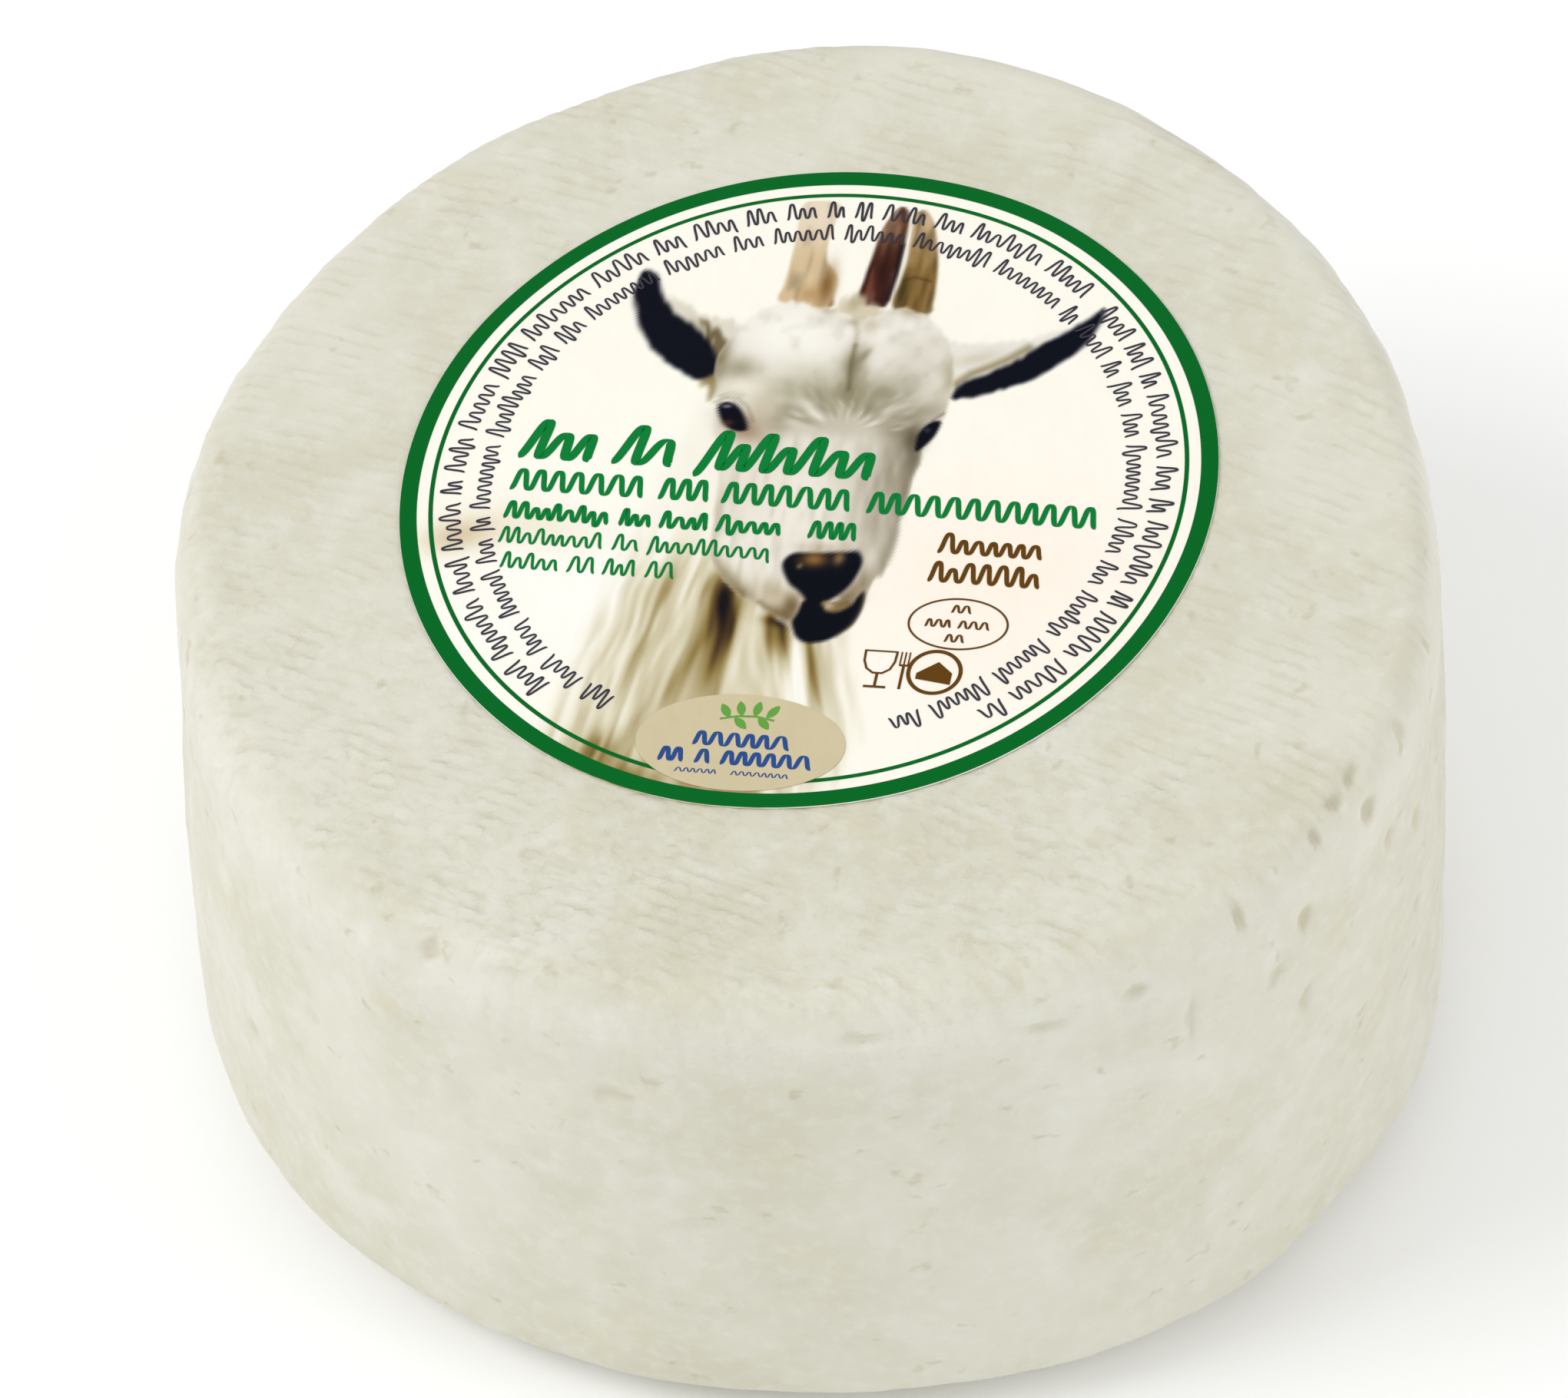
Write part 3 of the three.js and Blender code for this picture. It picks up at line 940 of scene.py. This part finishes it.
# Shading of the head: middle, reach, colour, strength and turn in degrees.
HEAD_DABS = (
    ((-4.4, 16.2), (4.4, 3.4), (254, 252, 246), 0.95), ((4.4, 17.2), (2.6, 2.0), (252, 250, 244), 0.9),
    ((7.2, 14.2), (3.0, 3.4), (216, 212, 200), 0.8), ((10.3, 12.8), (0.9, 2.9), (172, 164, 136), 0.8),
    ((-8.0, 11.7), (1.6, 1.4), (148, 142, 116), 0.8), ((-10.0, 12.3), (0.9, 3.0), (112, 100, 68), 0.85),
    ((-2.4, 9.9), (4.4, 2.5), (184, 180, 158), 0.9, 12), ((5.2, 10.4), (3.0, 1.9), (152, 148, 126), 0.8, 14),
    ((2.0, 8.6), (4.2, 2.2), (160, 153, 128), 0.75), ((2.0, 9.8), (1.5, 2.0), (116, 108, 78), 0.5),
    ((0.8, 5.8), (5.4, 1.5), (182, 176, 158), 0.7), ((-3.7, 6.3), (1.2, 1.9), (134, 126, 100), 0.75, 10),
    ((-7.6, 9.7), (1.8, 0.8), (240, 234, 218), 0.85, -8), ((-5.2, 7.2), (1.1, 1.8), (196, 182, 158), 0.65),
    ((8.8, 8.4), (1.9, 1.2), (146, 138, 114), 0.8, 10), ((7.0, 6.2), (1.7, 2.0), (132, 122, 100), 0.8),
    ((5.8, 19.5), (2.0, 0.7), (164, 148, 112), 0.6), ((-1.8, 19.3), (0.8, 0.7), (150, 130, 92), 0.6),
    ((2.3, 17.6), (0.8, 1.0), (184, 172, 144), 0.6), ((3.2, 0.4), (2.0, 2.8), (186, 178, 162), 0.5),
    ((-0.6, 3.0), (4.2, 2.2), (230, 224, 213), 0.7), ((-4.2, -1.0), (2.6, 4.0), (229, 221, 207), 0.7),
    ((0.8, -2.8), (3.0, 3.6), (241, 236, 226), 0.7), ((6.9, 1.0), (2.0, 4.6), (148, 139, 118), 0.85),
    ((6.8, -5.0), (2.0, 3.0), (164, 156, 136), 0.75), ((8.7, 2.8), (0.8, 2.2), (98, 90, 70), 0.85),
    ((8.7, -1.4), (0.8, 4.6), (112, 104, 84), 0.8), ((8.4, -8.2), (0.8, 2.8), (140, 132, 112), 0.8),
    ((6.9, -10.8), (0.9, 1.9), (124, 108, 80), 0.8), ((-3.6, -7.4), (2.6, 3.0), (240, 235, 224), 0.8),
    ((-7.2, -5.0), (0.8, 5.0), (200, 190, 166), 0.7), ((-5.6, -10.6), (3.4, 1.0), (138, 124, 90), 0.8, -42),
    ((-0.3, -12.4), (2.4, 1.1), (186, 170, 138), 0.8, -25), ((0.9, -6.0), (3.6, 1.0), (236, 228, 216), 0.6),
    ((-3.4, -12.6), (1.5, 0.8), (122, 104, 68), 0.85, -35),
    ((0.4, -14.4), (1.6, 0.8), (108, 88, 54), 0.85, -25), ((2.4, -7.2), (1.7, 0.6), (186, 174, 154), 0.7),
    ((5.2, -6.9), (1.2, 0.5), (198, 188, 170), 0.6),
)


def paint_fur(picture, inside):
    """Hair fans out and up from a whorl between the eyes, and lies down along the nose."""
    where, cover = inside
    u, v = picture.u[where], picture.v[where]
    x, y = u - 2.1 + 0.5 * soft_random(flat(u, v), 2.2, 93), v - 5.0
    turn, far = np.arctan2(x, np.maximum(y, 0.3)), np.hypot(x, y)
    fan = soft_random(np.stack([turn * 6, far * 0.5, 0 * far], 1), 1, 90)
    fan = fan + 0.8 * soft_random(np.stack([turn * 13, far * 0.9, 0 * far], 1), 1, 91)
    fan = fan * smooth_step(far, 1.0, 3.5) * np.exp(-((far / 7.0) ** 4)) * smooth_step(y, 0.0, 2.0)
    tufts = 0.5 * layered_random(flat(u, v), (1.2, 1.5, 1), 95, 2) * smooth_step(y, 3, 7)
    down = 0.35 * soft_random(flat(u + 0.06 * v, v), (0.5, 1.9, 1), 92) * smooth_step(-y, -1.0, 1.5)
    fur = fan + tufts + down
    picture.lay(where, (112, 106, 82), np.clip(fur, 0, 1) * cover * 0.55)
    picture.lay(where, (255, 254, 248), np.clip(-fur, 0, 1) * cover * 0.55)


def paint_head(picture):
    """The tuft between the horns, the head with its shading and fur, and the parting on its brow."""
    picture.shape([
        (-0.9, 17.8), (-0.7, 19.6), (0.0, 20.9), (1.1, 21.0), (1.8, 19.9), (3.0, 19.3), (3.2, 18.0),
    ], (212, 200, 172), 0.6, 0.9, 0.5, 8)
    picture.dab((0.4, 19.9), (0.6, 0.9), (162, 148, 114), 0.5)
    inside = picture.shape(HEAD, (238, 234, 225), 0.3, 1.0, 0.25, 5)
    picture.dabs(HEAD_DABS, inside)
    paint_fur(picture, inside)
    picture.lay(inside[0], (228, 210, 156), 0.08 * inside[1])
    picture.stroke([(0.9, 17.8), (1.3, 16.6), (1.4, 15.2)], 0.3, (166, 156, 126), 0.6, 0.45)
    picture.dabs([
        ((1.6, 13.0), (1.0, 2.0), (112, 103, 70), 0.75), ((2.4, 14.1), (0.35, 0.9), (128, 119, 88), 0.6, -25),
    ])
    picture.stroke([(1.4, 15.2), (1.4, 13.2), (1.6, 11.4), (1.7, 10.2)], 0.22, (96, 86, 54), 0.75, 0.35)
    picture.dab((0.8, 17.8), (0.7, 0.5), (172, 162, 138), 0.6)
    picture.stroke([(-1.6, -13.4), (-0.4, -14.3), (1.0, -14.7)], 0.3, (122, 98, 54), 0.65, 0.4)


def paint_face(picture):
    """Eyes, nose and mouth."""
    ink = (6, 9, 20)
    picture.dab((-6.6, 5.2), (2.2, 1.3), (136, 106, 76), 0.75, -35)
    picture.shape([
        (-9.2, 7.3), (-8.6, 7.85), (-7.75, 7.7), (-7.05, 7.1), (-6.5, 6.2), (-6.15, 5.15), (-6.5, 4.8),
        (-7.4, 4.8), (-8.2, 5.3), (-8.8, 6.1),
    ], ink, 0.2)
    picture.dab((-8.0, 5.6), (0.45, 0.35), (96, 54, 36), 0.75)
    lid = [(-9.5, 7.7), (-8.8, 8.35), (-7.6, 8.3), (-6.6, 7.5), (-5.8, 5.9)]
    picture.stroke(lid, 0.12, (104, 90, 62), 0.55, 0.3)
    picture.stroke([(-9.3, 8.5), (-8.3, 8.9), (-7.2, 8.7)], 0.1, (140, 130, 96), 0.5, 0.3)
    picture.dabs([
        ((-8.4, 7.4), (0.32, 0.2), (176, 172, 184), 0.8), ((8.2, 5.2), (0.9, 1.8), (84, 74, 54), 0.8),
    ])
    picture.shape([
        (10.3, 7.3), (10.1, 5.9), (9.6, 4.9), (9.1, 4.2), (8.7, 3.9), (8.55, 4.7), (8.6, 5.8),
        (9.0, 6.7), (9.6, 7.3),
    ], ink, 0.2)
    picture.stroke([(9.5, 7.4), (10.0, 7.9), (10.4, 8.3)], 0.12, (92, 82, 60), 0.7, 0.25)
    picture.dab((9.3, 6.3), (0.2, 0.25), (120, 120, 140), 0.45)
    # Nose, lips and chin.
    picture.dabs([
        ((6.1, -11.6), (0.8, 1.3), (150, 134, 106), 0.85, 20),
        ((1.2, -13.6), (0.8, 1.3), (104, 80, 48), 0.8), ((1.9, -12.7), (0.3, 0.35), (222, 186, 164), 0.6),
    ])
    picture.shape([
        (-0.4, -9.2), (-0.1, -8.4), (0.5, -7.95), (1.4, -7.85), (2.4, -7.8), (3.6, -7.6), (4.8, -7.45),
        (5.7, -7.3), (6.25, -8.0), (6.3, -9.0), (5.9, -10.5), (5.2, -11.8), (4.4, -12.6), (3.8, -13.1),
        (3.7, -13.9), (2.1, -13.9), (2.2, -12.9), (1.5, -12.0), (0.6, -11.3), (-0.1, -10.2),
    ], ink, 0.28)
    picture.dabs([
        ((2.2, -8.5), (1.1, 0.75), (148, 106, 52), 0.95), ((4.3, -8.2), (0.5, 0.7), (152, 118, 74), 0.85),
        ((1.1, -9.3), (0.25, 0.3), (168, 154, 92), 0.65), ((0.9, -8.7), (0.4, 0.3), (60, 34, 24), 0.6),
    ])
    picture.shape([
        (3.7, -12.9), (4.6, -12.8), (5.6, -12.6), (6.3, -12.7), (6.0, -13.6), (5.0, -14.1), (3.9, -13.9),
    ], (124, 98, 58), 0.25, 0.9)
    picture.dabs([
        ((4.3, -13.3), (0.5, 0.35), (212, 192, 168), 0.8), ((5.6, -12.3), (0.7, 0.6), (104, 84, 52), 0.7),
    ])
    picture.shape([
        (2.2, -13.0), (2.0, -13.6), (1.8, -14.4), (1.55, -15.2), (1.8, -16.1), (2.3, -16.9), (3.2, -17.3),
        (4.6, -17.0), (5.7, -16.2), (6.6, -15.2), (7.0, -14.2), (7.2, -13.2), (7.2, -12.1), (7.0, -11.6),
        (6.6, -12.2), (6.2, -13.1), (5.2, -13.85), (4.2, -13.8), (3.7, -13.2),
    ], ink, 0.25)
    chin = [(7.05, -11.7), (7.1, -12.8), (6.9, -14.1), (6.4, -15.3), (5.5, -16.4)]
    picture.stroke(chin, 0.25, (88, 72, 38), 0.5, 0.3)


def goat_portrait(u, v):
    """A white goat with black ears on cream paper, as colours from 0 to 1 at the label's points."""
    picture = Picture(u, v, PAPER_CREAM)
    picture.dabs([
        ((17, -9), (15, 12), (255, 242, 228), 0.75), ((-17, -14), (9, 9), (255, 253, 246), 0.8),
        ((-28.5, -8.4), (3.6, 1.8), (206, 184, 144), 0.75, 20),
        ((-22, -7), (6, 2.4), (240, 230, 208), 0.6, -8),
    ])
    paint_neck(picture)
    paint_ears(picture)
    paint_horns(picture)
    paint_head(picture)
    paint_face(picture)
    return np.clip(picture.colour / 255, 0, 1)


# ---------------------------------------------------------------- inks laid on the paper


PATCH_RINGS = 4


def oval(middle, reach, steps):
    turn = np.linspace(0, 2 * math.pi, steps, endpoint=False)
    return np.stack([middle[0] + reach[0] * np.cos(turn), middle[1] + reach[1] * np.sin(turn)], 1)


class Ink:
    """Flat shapes in one ink, gathered into one piece."""

    def __init__(self, lift=INK_LIFT):
        self.points, self.faces, self.count, self.lift = [], [], 0, lift

    def keep(self, places, faces):
        self.points.append(on_label(*np.transpose(places), self.lift))
        self.faces += [tuple(self.count + i for i in face) for face in faces]
        self.count += len(places)

    def ring(self, middle, reach, width, steps):
        """A round or oval line. Reach is to the middle of the line."""
        edges = [oval(middle, np.add(reach, side * width / 2), steps) for side in (-1, 1)]
        faces = [(i, steps + i, steps + (i + 1) % steps, (i + 1) % steps) for i in range(steps)]
        self.keep(np.vstack(edges), faces)

    def patch(self, outline):
        """A filled shape with an outline that can be seen all from its middle."""
        outline = np.array(outline, float)
        middle = outline.mean(0)
        rows = [middle + (outline - middle) * (k + 1) / PATCH_RINGS for k in range(PATCH_RINGS)]
        n = len(outline)
        faces = [(0, 1 + i, 1 + (i + 1) % n) for i in range(n)]
        for k in range(PATCH_RINGS - 1):
            a, b = 1 + k * n, 1 + (k + 1) * n
            faces += [(a + i, b + i, b + (i + 1) % n, a + (i + 1) % n) for i in range(n)]
        self.keep(np.vstack([[middle], *rows]), faces)

    def line(self, points, width):
        """A line through the points, of one width or a width for each point."""
        points = np.array(points, float)
        ahead = np.gradient(points, axis=0)
        side = np.stack([-ahead[:, 1], ahead[:, 0]], 1)
        side /= np.maximum(np.linalg.norm(side, axis=1, keepdims=True), 1e-9)
        half = (np.asarray(width) * np.ones(len(points)) / 2)[:, None]
        n = len(points)
        faces = [(i, i + 1, n + i + 1, n + i) for i in range(n - 1)]
        self.keep(np.vstack([points - side * half, points + side * half]), faces)

    def piece(self, name, material):
        made = link_mesh(name, np.vstack(self.points), self.faces, material, smooth=False)
        add_to_label(made)


def straight(level):
    """A level base line: gives the label's places for distances along it and heights above it."""
    def place(along, up):
        return np.stack([along, level + up], 1)
    return place


def round_line(radius, start):
    """A base line that runs clockwise round the label from a direction in degrees."""
    def place(along, up):
        turn = math.radians(start) - along / radius
        return np.stack([(radius + up) * np.cos(turn), (radius + up) * np.sin(turn)], 1)
    return place


def scribble(ink, place, start, length, height, pitch, stroke, chance, slant=0.0, swell=0.3, reach=0.3):
    """One word of dummy print: a smooth wave as high as small letters, where some crests reach further."""
    turns = max(1, round(length / pitch))
    phase = np.linspace(-0.25, turns - 0.25, 24 * turns + 1)
    widths = chance.uniform(0.8, 1.2, turns)
    widths = np.concatenate([[0], np.cumsum(widths) / widths.sum()])
    crests = np.where(chance.random(turns + 2) < reach, 1.5, 1.0)
    troughs = np.where(chance.random(turns + 2) < reach * 0.35, -0.3, 0.0)
    crests[0] = 1.5 if reach else 1.0
    high = crests[np.floor(phase + 0.25).astype(int)]
    low = troughs[np.floor(phase + 0.75).astype(int)]
    wave = 0.5 + 0.5 * np.tanh(1.3 * np.sin(2 * math.pi * phase)) / math.tanh(1.3)
    h = height * (low + (high - low) * wave)
    along = start + length * np.interp(phase + 0.25, np.arange(turns + 1), widths) + slant * h
    steep = np.abs(np.gradient(h)) / np.maximum(np.hypot(np.gradient(h), np.gradient(along)), 1e-9)
    ink.line(place(along, h), stroke * (1 - swell + 2 * swell * steep**2))


def dummy_line(ink, place, words, height, pitch, stroke, chance, **style):
    for start, end in words:
        scribble(ink, place, start, end - start, height, pitch, stroke, chance, **style)


WORD_LENGTHS = (1.5, 2.6, 3.8, 5.2, 7.0)
WORD_GAP = 0.9


def dummy_round(ink, radius, start, end, height, pitch, stroke, chance):
    """Dummy words of mixed length all along a stretch of a circle."""
    place, at = round_line(radius, start), 0.0
    stretch = math.radians(start - end) * radius
    while at < stretch - 1:
        length = min(chance.choice(WORD_LENGTHS), stretch - at)
        scribble(ink, place, at, length, height, pitch, stroke, chance)
        at += length + WORD_GAP


def print_rings():
    ink = Ink()
    band = (33.5, LABEL_RADIUS - 0.02)
    ink.ring((0, 0), (sum(band) / 2,) * 2, band[1] - band[0], 360)
    ink.ring((0, 0), (32.3, 32.3), 0.38, 360)
    ink.piece("green_rings", printed("green_ink", paint(0, 100, 34), 0.03))


def print_title():
    """Green dummy print in five lines, the first two with broad and thin strokes."""
    chance = np.random.default_rng(SEED + 1)
    ink = Ink(PRINT_LIFT)
    dummy_line(ink, straight(0.5), [(-25.4, -19.2), (-17.2, -12.0), (-9.7, 5.2)],
               2.7, 2.15, 0.6, chance, slant=0.25, swell=0.42, reach=0.2)
    dummy_line(ink, straight(-3.1), [(-25.4, -13.8), (-12.4, -8.1), (-6.9, 4.2), (5.7, 25.4)],
               2.2, 1.65, 0.34, chance, swell=0.42, reach=0)
    words = [(-25.3, -16.2), (-15.2, -12.5), (-11.7, -7.6), (-6.8, -1.2), (1.2, 5.3)]
    dummy_line(ink, straight(-6.2), words, 1.15, 1.05, 0.33, chance, swell=0.25)
    for level, words in (
        (-8.9, [(-25.2, -16.2), (-15.3, -13.0), (-12.2, -1.6)]),
        (-11.6, [(-24.5, -19.5), (-18.7, -16.3), (-15.6, -12.8), (-11.9, -9.4)]),
    ):
        dummy_line(ink, straight(level), words, 1.1, 1.05, 0.22, chance, swell=0.2)
    ink.piece("green_print", printed("green_text_ink", paint(6, 122, 52), 0.05))


def print_small():
    """Two circles of grey dummy print inside the rings."""
    chance = np.random.default_rng(SEED + 2)
    ink = Ink(PRINT_LIFT)
    dummy_round(ink, 29.75, 233, 48, 1.2, 1.0, 0.17, chance)
    dummy_round(ink, 29.75, 43.5, -51, 1.2, 1.0, 0.17, chance)
    dummy_round(ink, 27.2, 244, -66, 1.15, 0.88, 0.16, chance)
    ink.piece("small_print", printed("grey_ink", paint(58, 56, 66), 0.08))


def print_brown():
    """Brown marks on the right: two lines, an oval stamp, a goblet, a fork and a wedge in a ring."""
    chance = np.random.default_rng(SEED + 3)
    ink = Ink(PRINT_LIFT)
    for level, words in ((-6.8, [(12.5, 21.4)]), (-9.9, [(12.2, 21.7)])):
        dummy_line(ink, straight(level), words, 1.35, 1.35, 0.34, chance, swell=0.2)
    ink.ring((15.6, -14.3), (4.2, 2.65), 0.18, 90)
    stamp = ((-13.1, [(14.8, 16.5)]), (-14.7, [(12.8, 15.0), (15.6, 18.3)]), (-16.2, [(14.7, 16.4)]))
    for level, words in stamp:
        dummy_line(ink, straight(level), words, 0.75, 0.8, 0.17, chance, reach=0)
    goblet(ink, (9.7, -19.6))
    ink.ring((14.5, -19.5), (2.2, 2.2), 0.34, 72)
    wedge = [(13.0, -20.3), (16.0, -20.7), (16.0, -19.5), (14.7, -18.4), (13.0, -19.7)]
    ink.patch(wedge)
    ink.piece("brown_print", printed("brown_ink", paint(96, 62, 14), 0.05))


def goblet(ink, middle):
    """A plain goblet beside a plain fork."""
    x, y = middle
    half_bowl = [(1.35, 2.0), (1.3, 0.9), (1.0, 0.1), (0.4, -0.35)]
    bowl = [(-a, b) for a, b in half_bowl] + half_bowl[::-1]
    ink.line([(x + a, y + b) for a, b in bowl], 0.2)
    ink.line([(x - 1.4, y + 1.95), (x + 1.4, y + 1.95)], 0.16)
    ink.line([(x, y - 0.35), (x, y - 1.75)], 0.24)
    ink.line([(x - 0.95, y - 1.8), (x + 0.95, y - 1.8)], 0.24)
    for tine in (-0.35, 0, 0.35):
        ink.line([(x + 2.1 + tine, y + 2.0), (x + 2.1 + tine, y + 0.6)], 0.13)
    ink.line([(x + 1.7, y + 0.6), (x + 2.5, y + 0.6)], 0.2)
    ink.line([(x + 2.1, y + 0.6), (x + 2.1, y - 1.9)], 0.24)


def leaf(start, tip, width):
    """A pointed leaf from its stalk to its tip."""
    start, tip = np.array(start, float), np.array(tip, float)
    ahead = tip - start
    side = np.array([-ahead[1], ahead[0]]) / np.hypot(*ahead) * width / 2
    share = np.linspace(0, 1, 9)[:, None]
    bulge = np.sin(math.pi * share) ** 0.8
    upper = start + ahead * share + side * bulge
    lower = start + ahead * share - side * bulge
    return np.vstack([upper, lower[::-1][1:-1]])


# The sprig's leaves, each from its stalk to its tip.
LEAVES = (
    ((-1.8, -25.7), (-2.7, -24.3)), ((-0.8, -25.45), (-1.2, -23.9)), ((0.3, -25.4), (0.5, -23.8)),
    ((1.3, -25.5), (2.2, -24.1)), ((-1.4, -25.6), (-0.2, -26.8)), ((0.6, -25.4), (1.7, -26.7)),
)


def print_badge():
    """A beige oval at the foot of the label, with a leafy sprig and blue dummy print."""
    chance = np.random.default_rng(SEED + 4)
    ground = Ink(BADGE_LIFT)
    ground.patch(oval((-0.4, -28.25), (8.9, 5.1), 120))
    ground.piece("badge", printed("beige_ink", paint(203, 190, 156), 0.12))
    sprig = Ink(BADGE_PRINT_LIFT)
    sprig.line([(-2.6, -25.9), (-1.2, -25.5), (0.4, -25.4), (2.0, -25.7)], 0.2)
    for start, tip in LEAVES:
        sprig.patch(leaf(start, tip, 0.75))
    sprig.piece("badge_sprig", printed("leaf_ink", paint(98, 158, 66), 0.08))
    lines = Ink(BADGE_PRINT_LIFT)
    for level, words in ((-28.7, [(-4.4, 3.8)]), (-30.6, [(-7.0, -4.9), (-3.9, -2.6), (-1.7, 6.0)])):
        dummy_line(lines, straight(level), words, 1.35, 1.3, 0.3, chance, swell=0.4, reach=0)
    dummy_line(lines, straight(-31.7), [(-5.4, -1.8), (-0.6, 4.3)], 0.4, 0.6, 0.1, chance, reach=0)
    lines.piece("badge_print", printed("blue_ink", paint(42, 76, 138), 0.08))


# ---------------------------------------------------------------- the whole

place_camera()
light_the_studio()
lay_floor()
make_cheese()
make_label_sheet()
print_rings()
print_title()
print_small()
print_brown()
print_badge()

model_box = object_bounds()
[[list(corner) for corner in box] for box in (cad_box, model_box)]
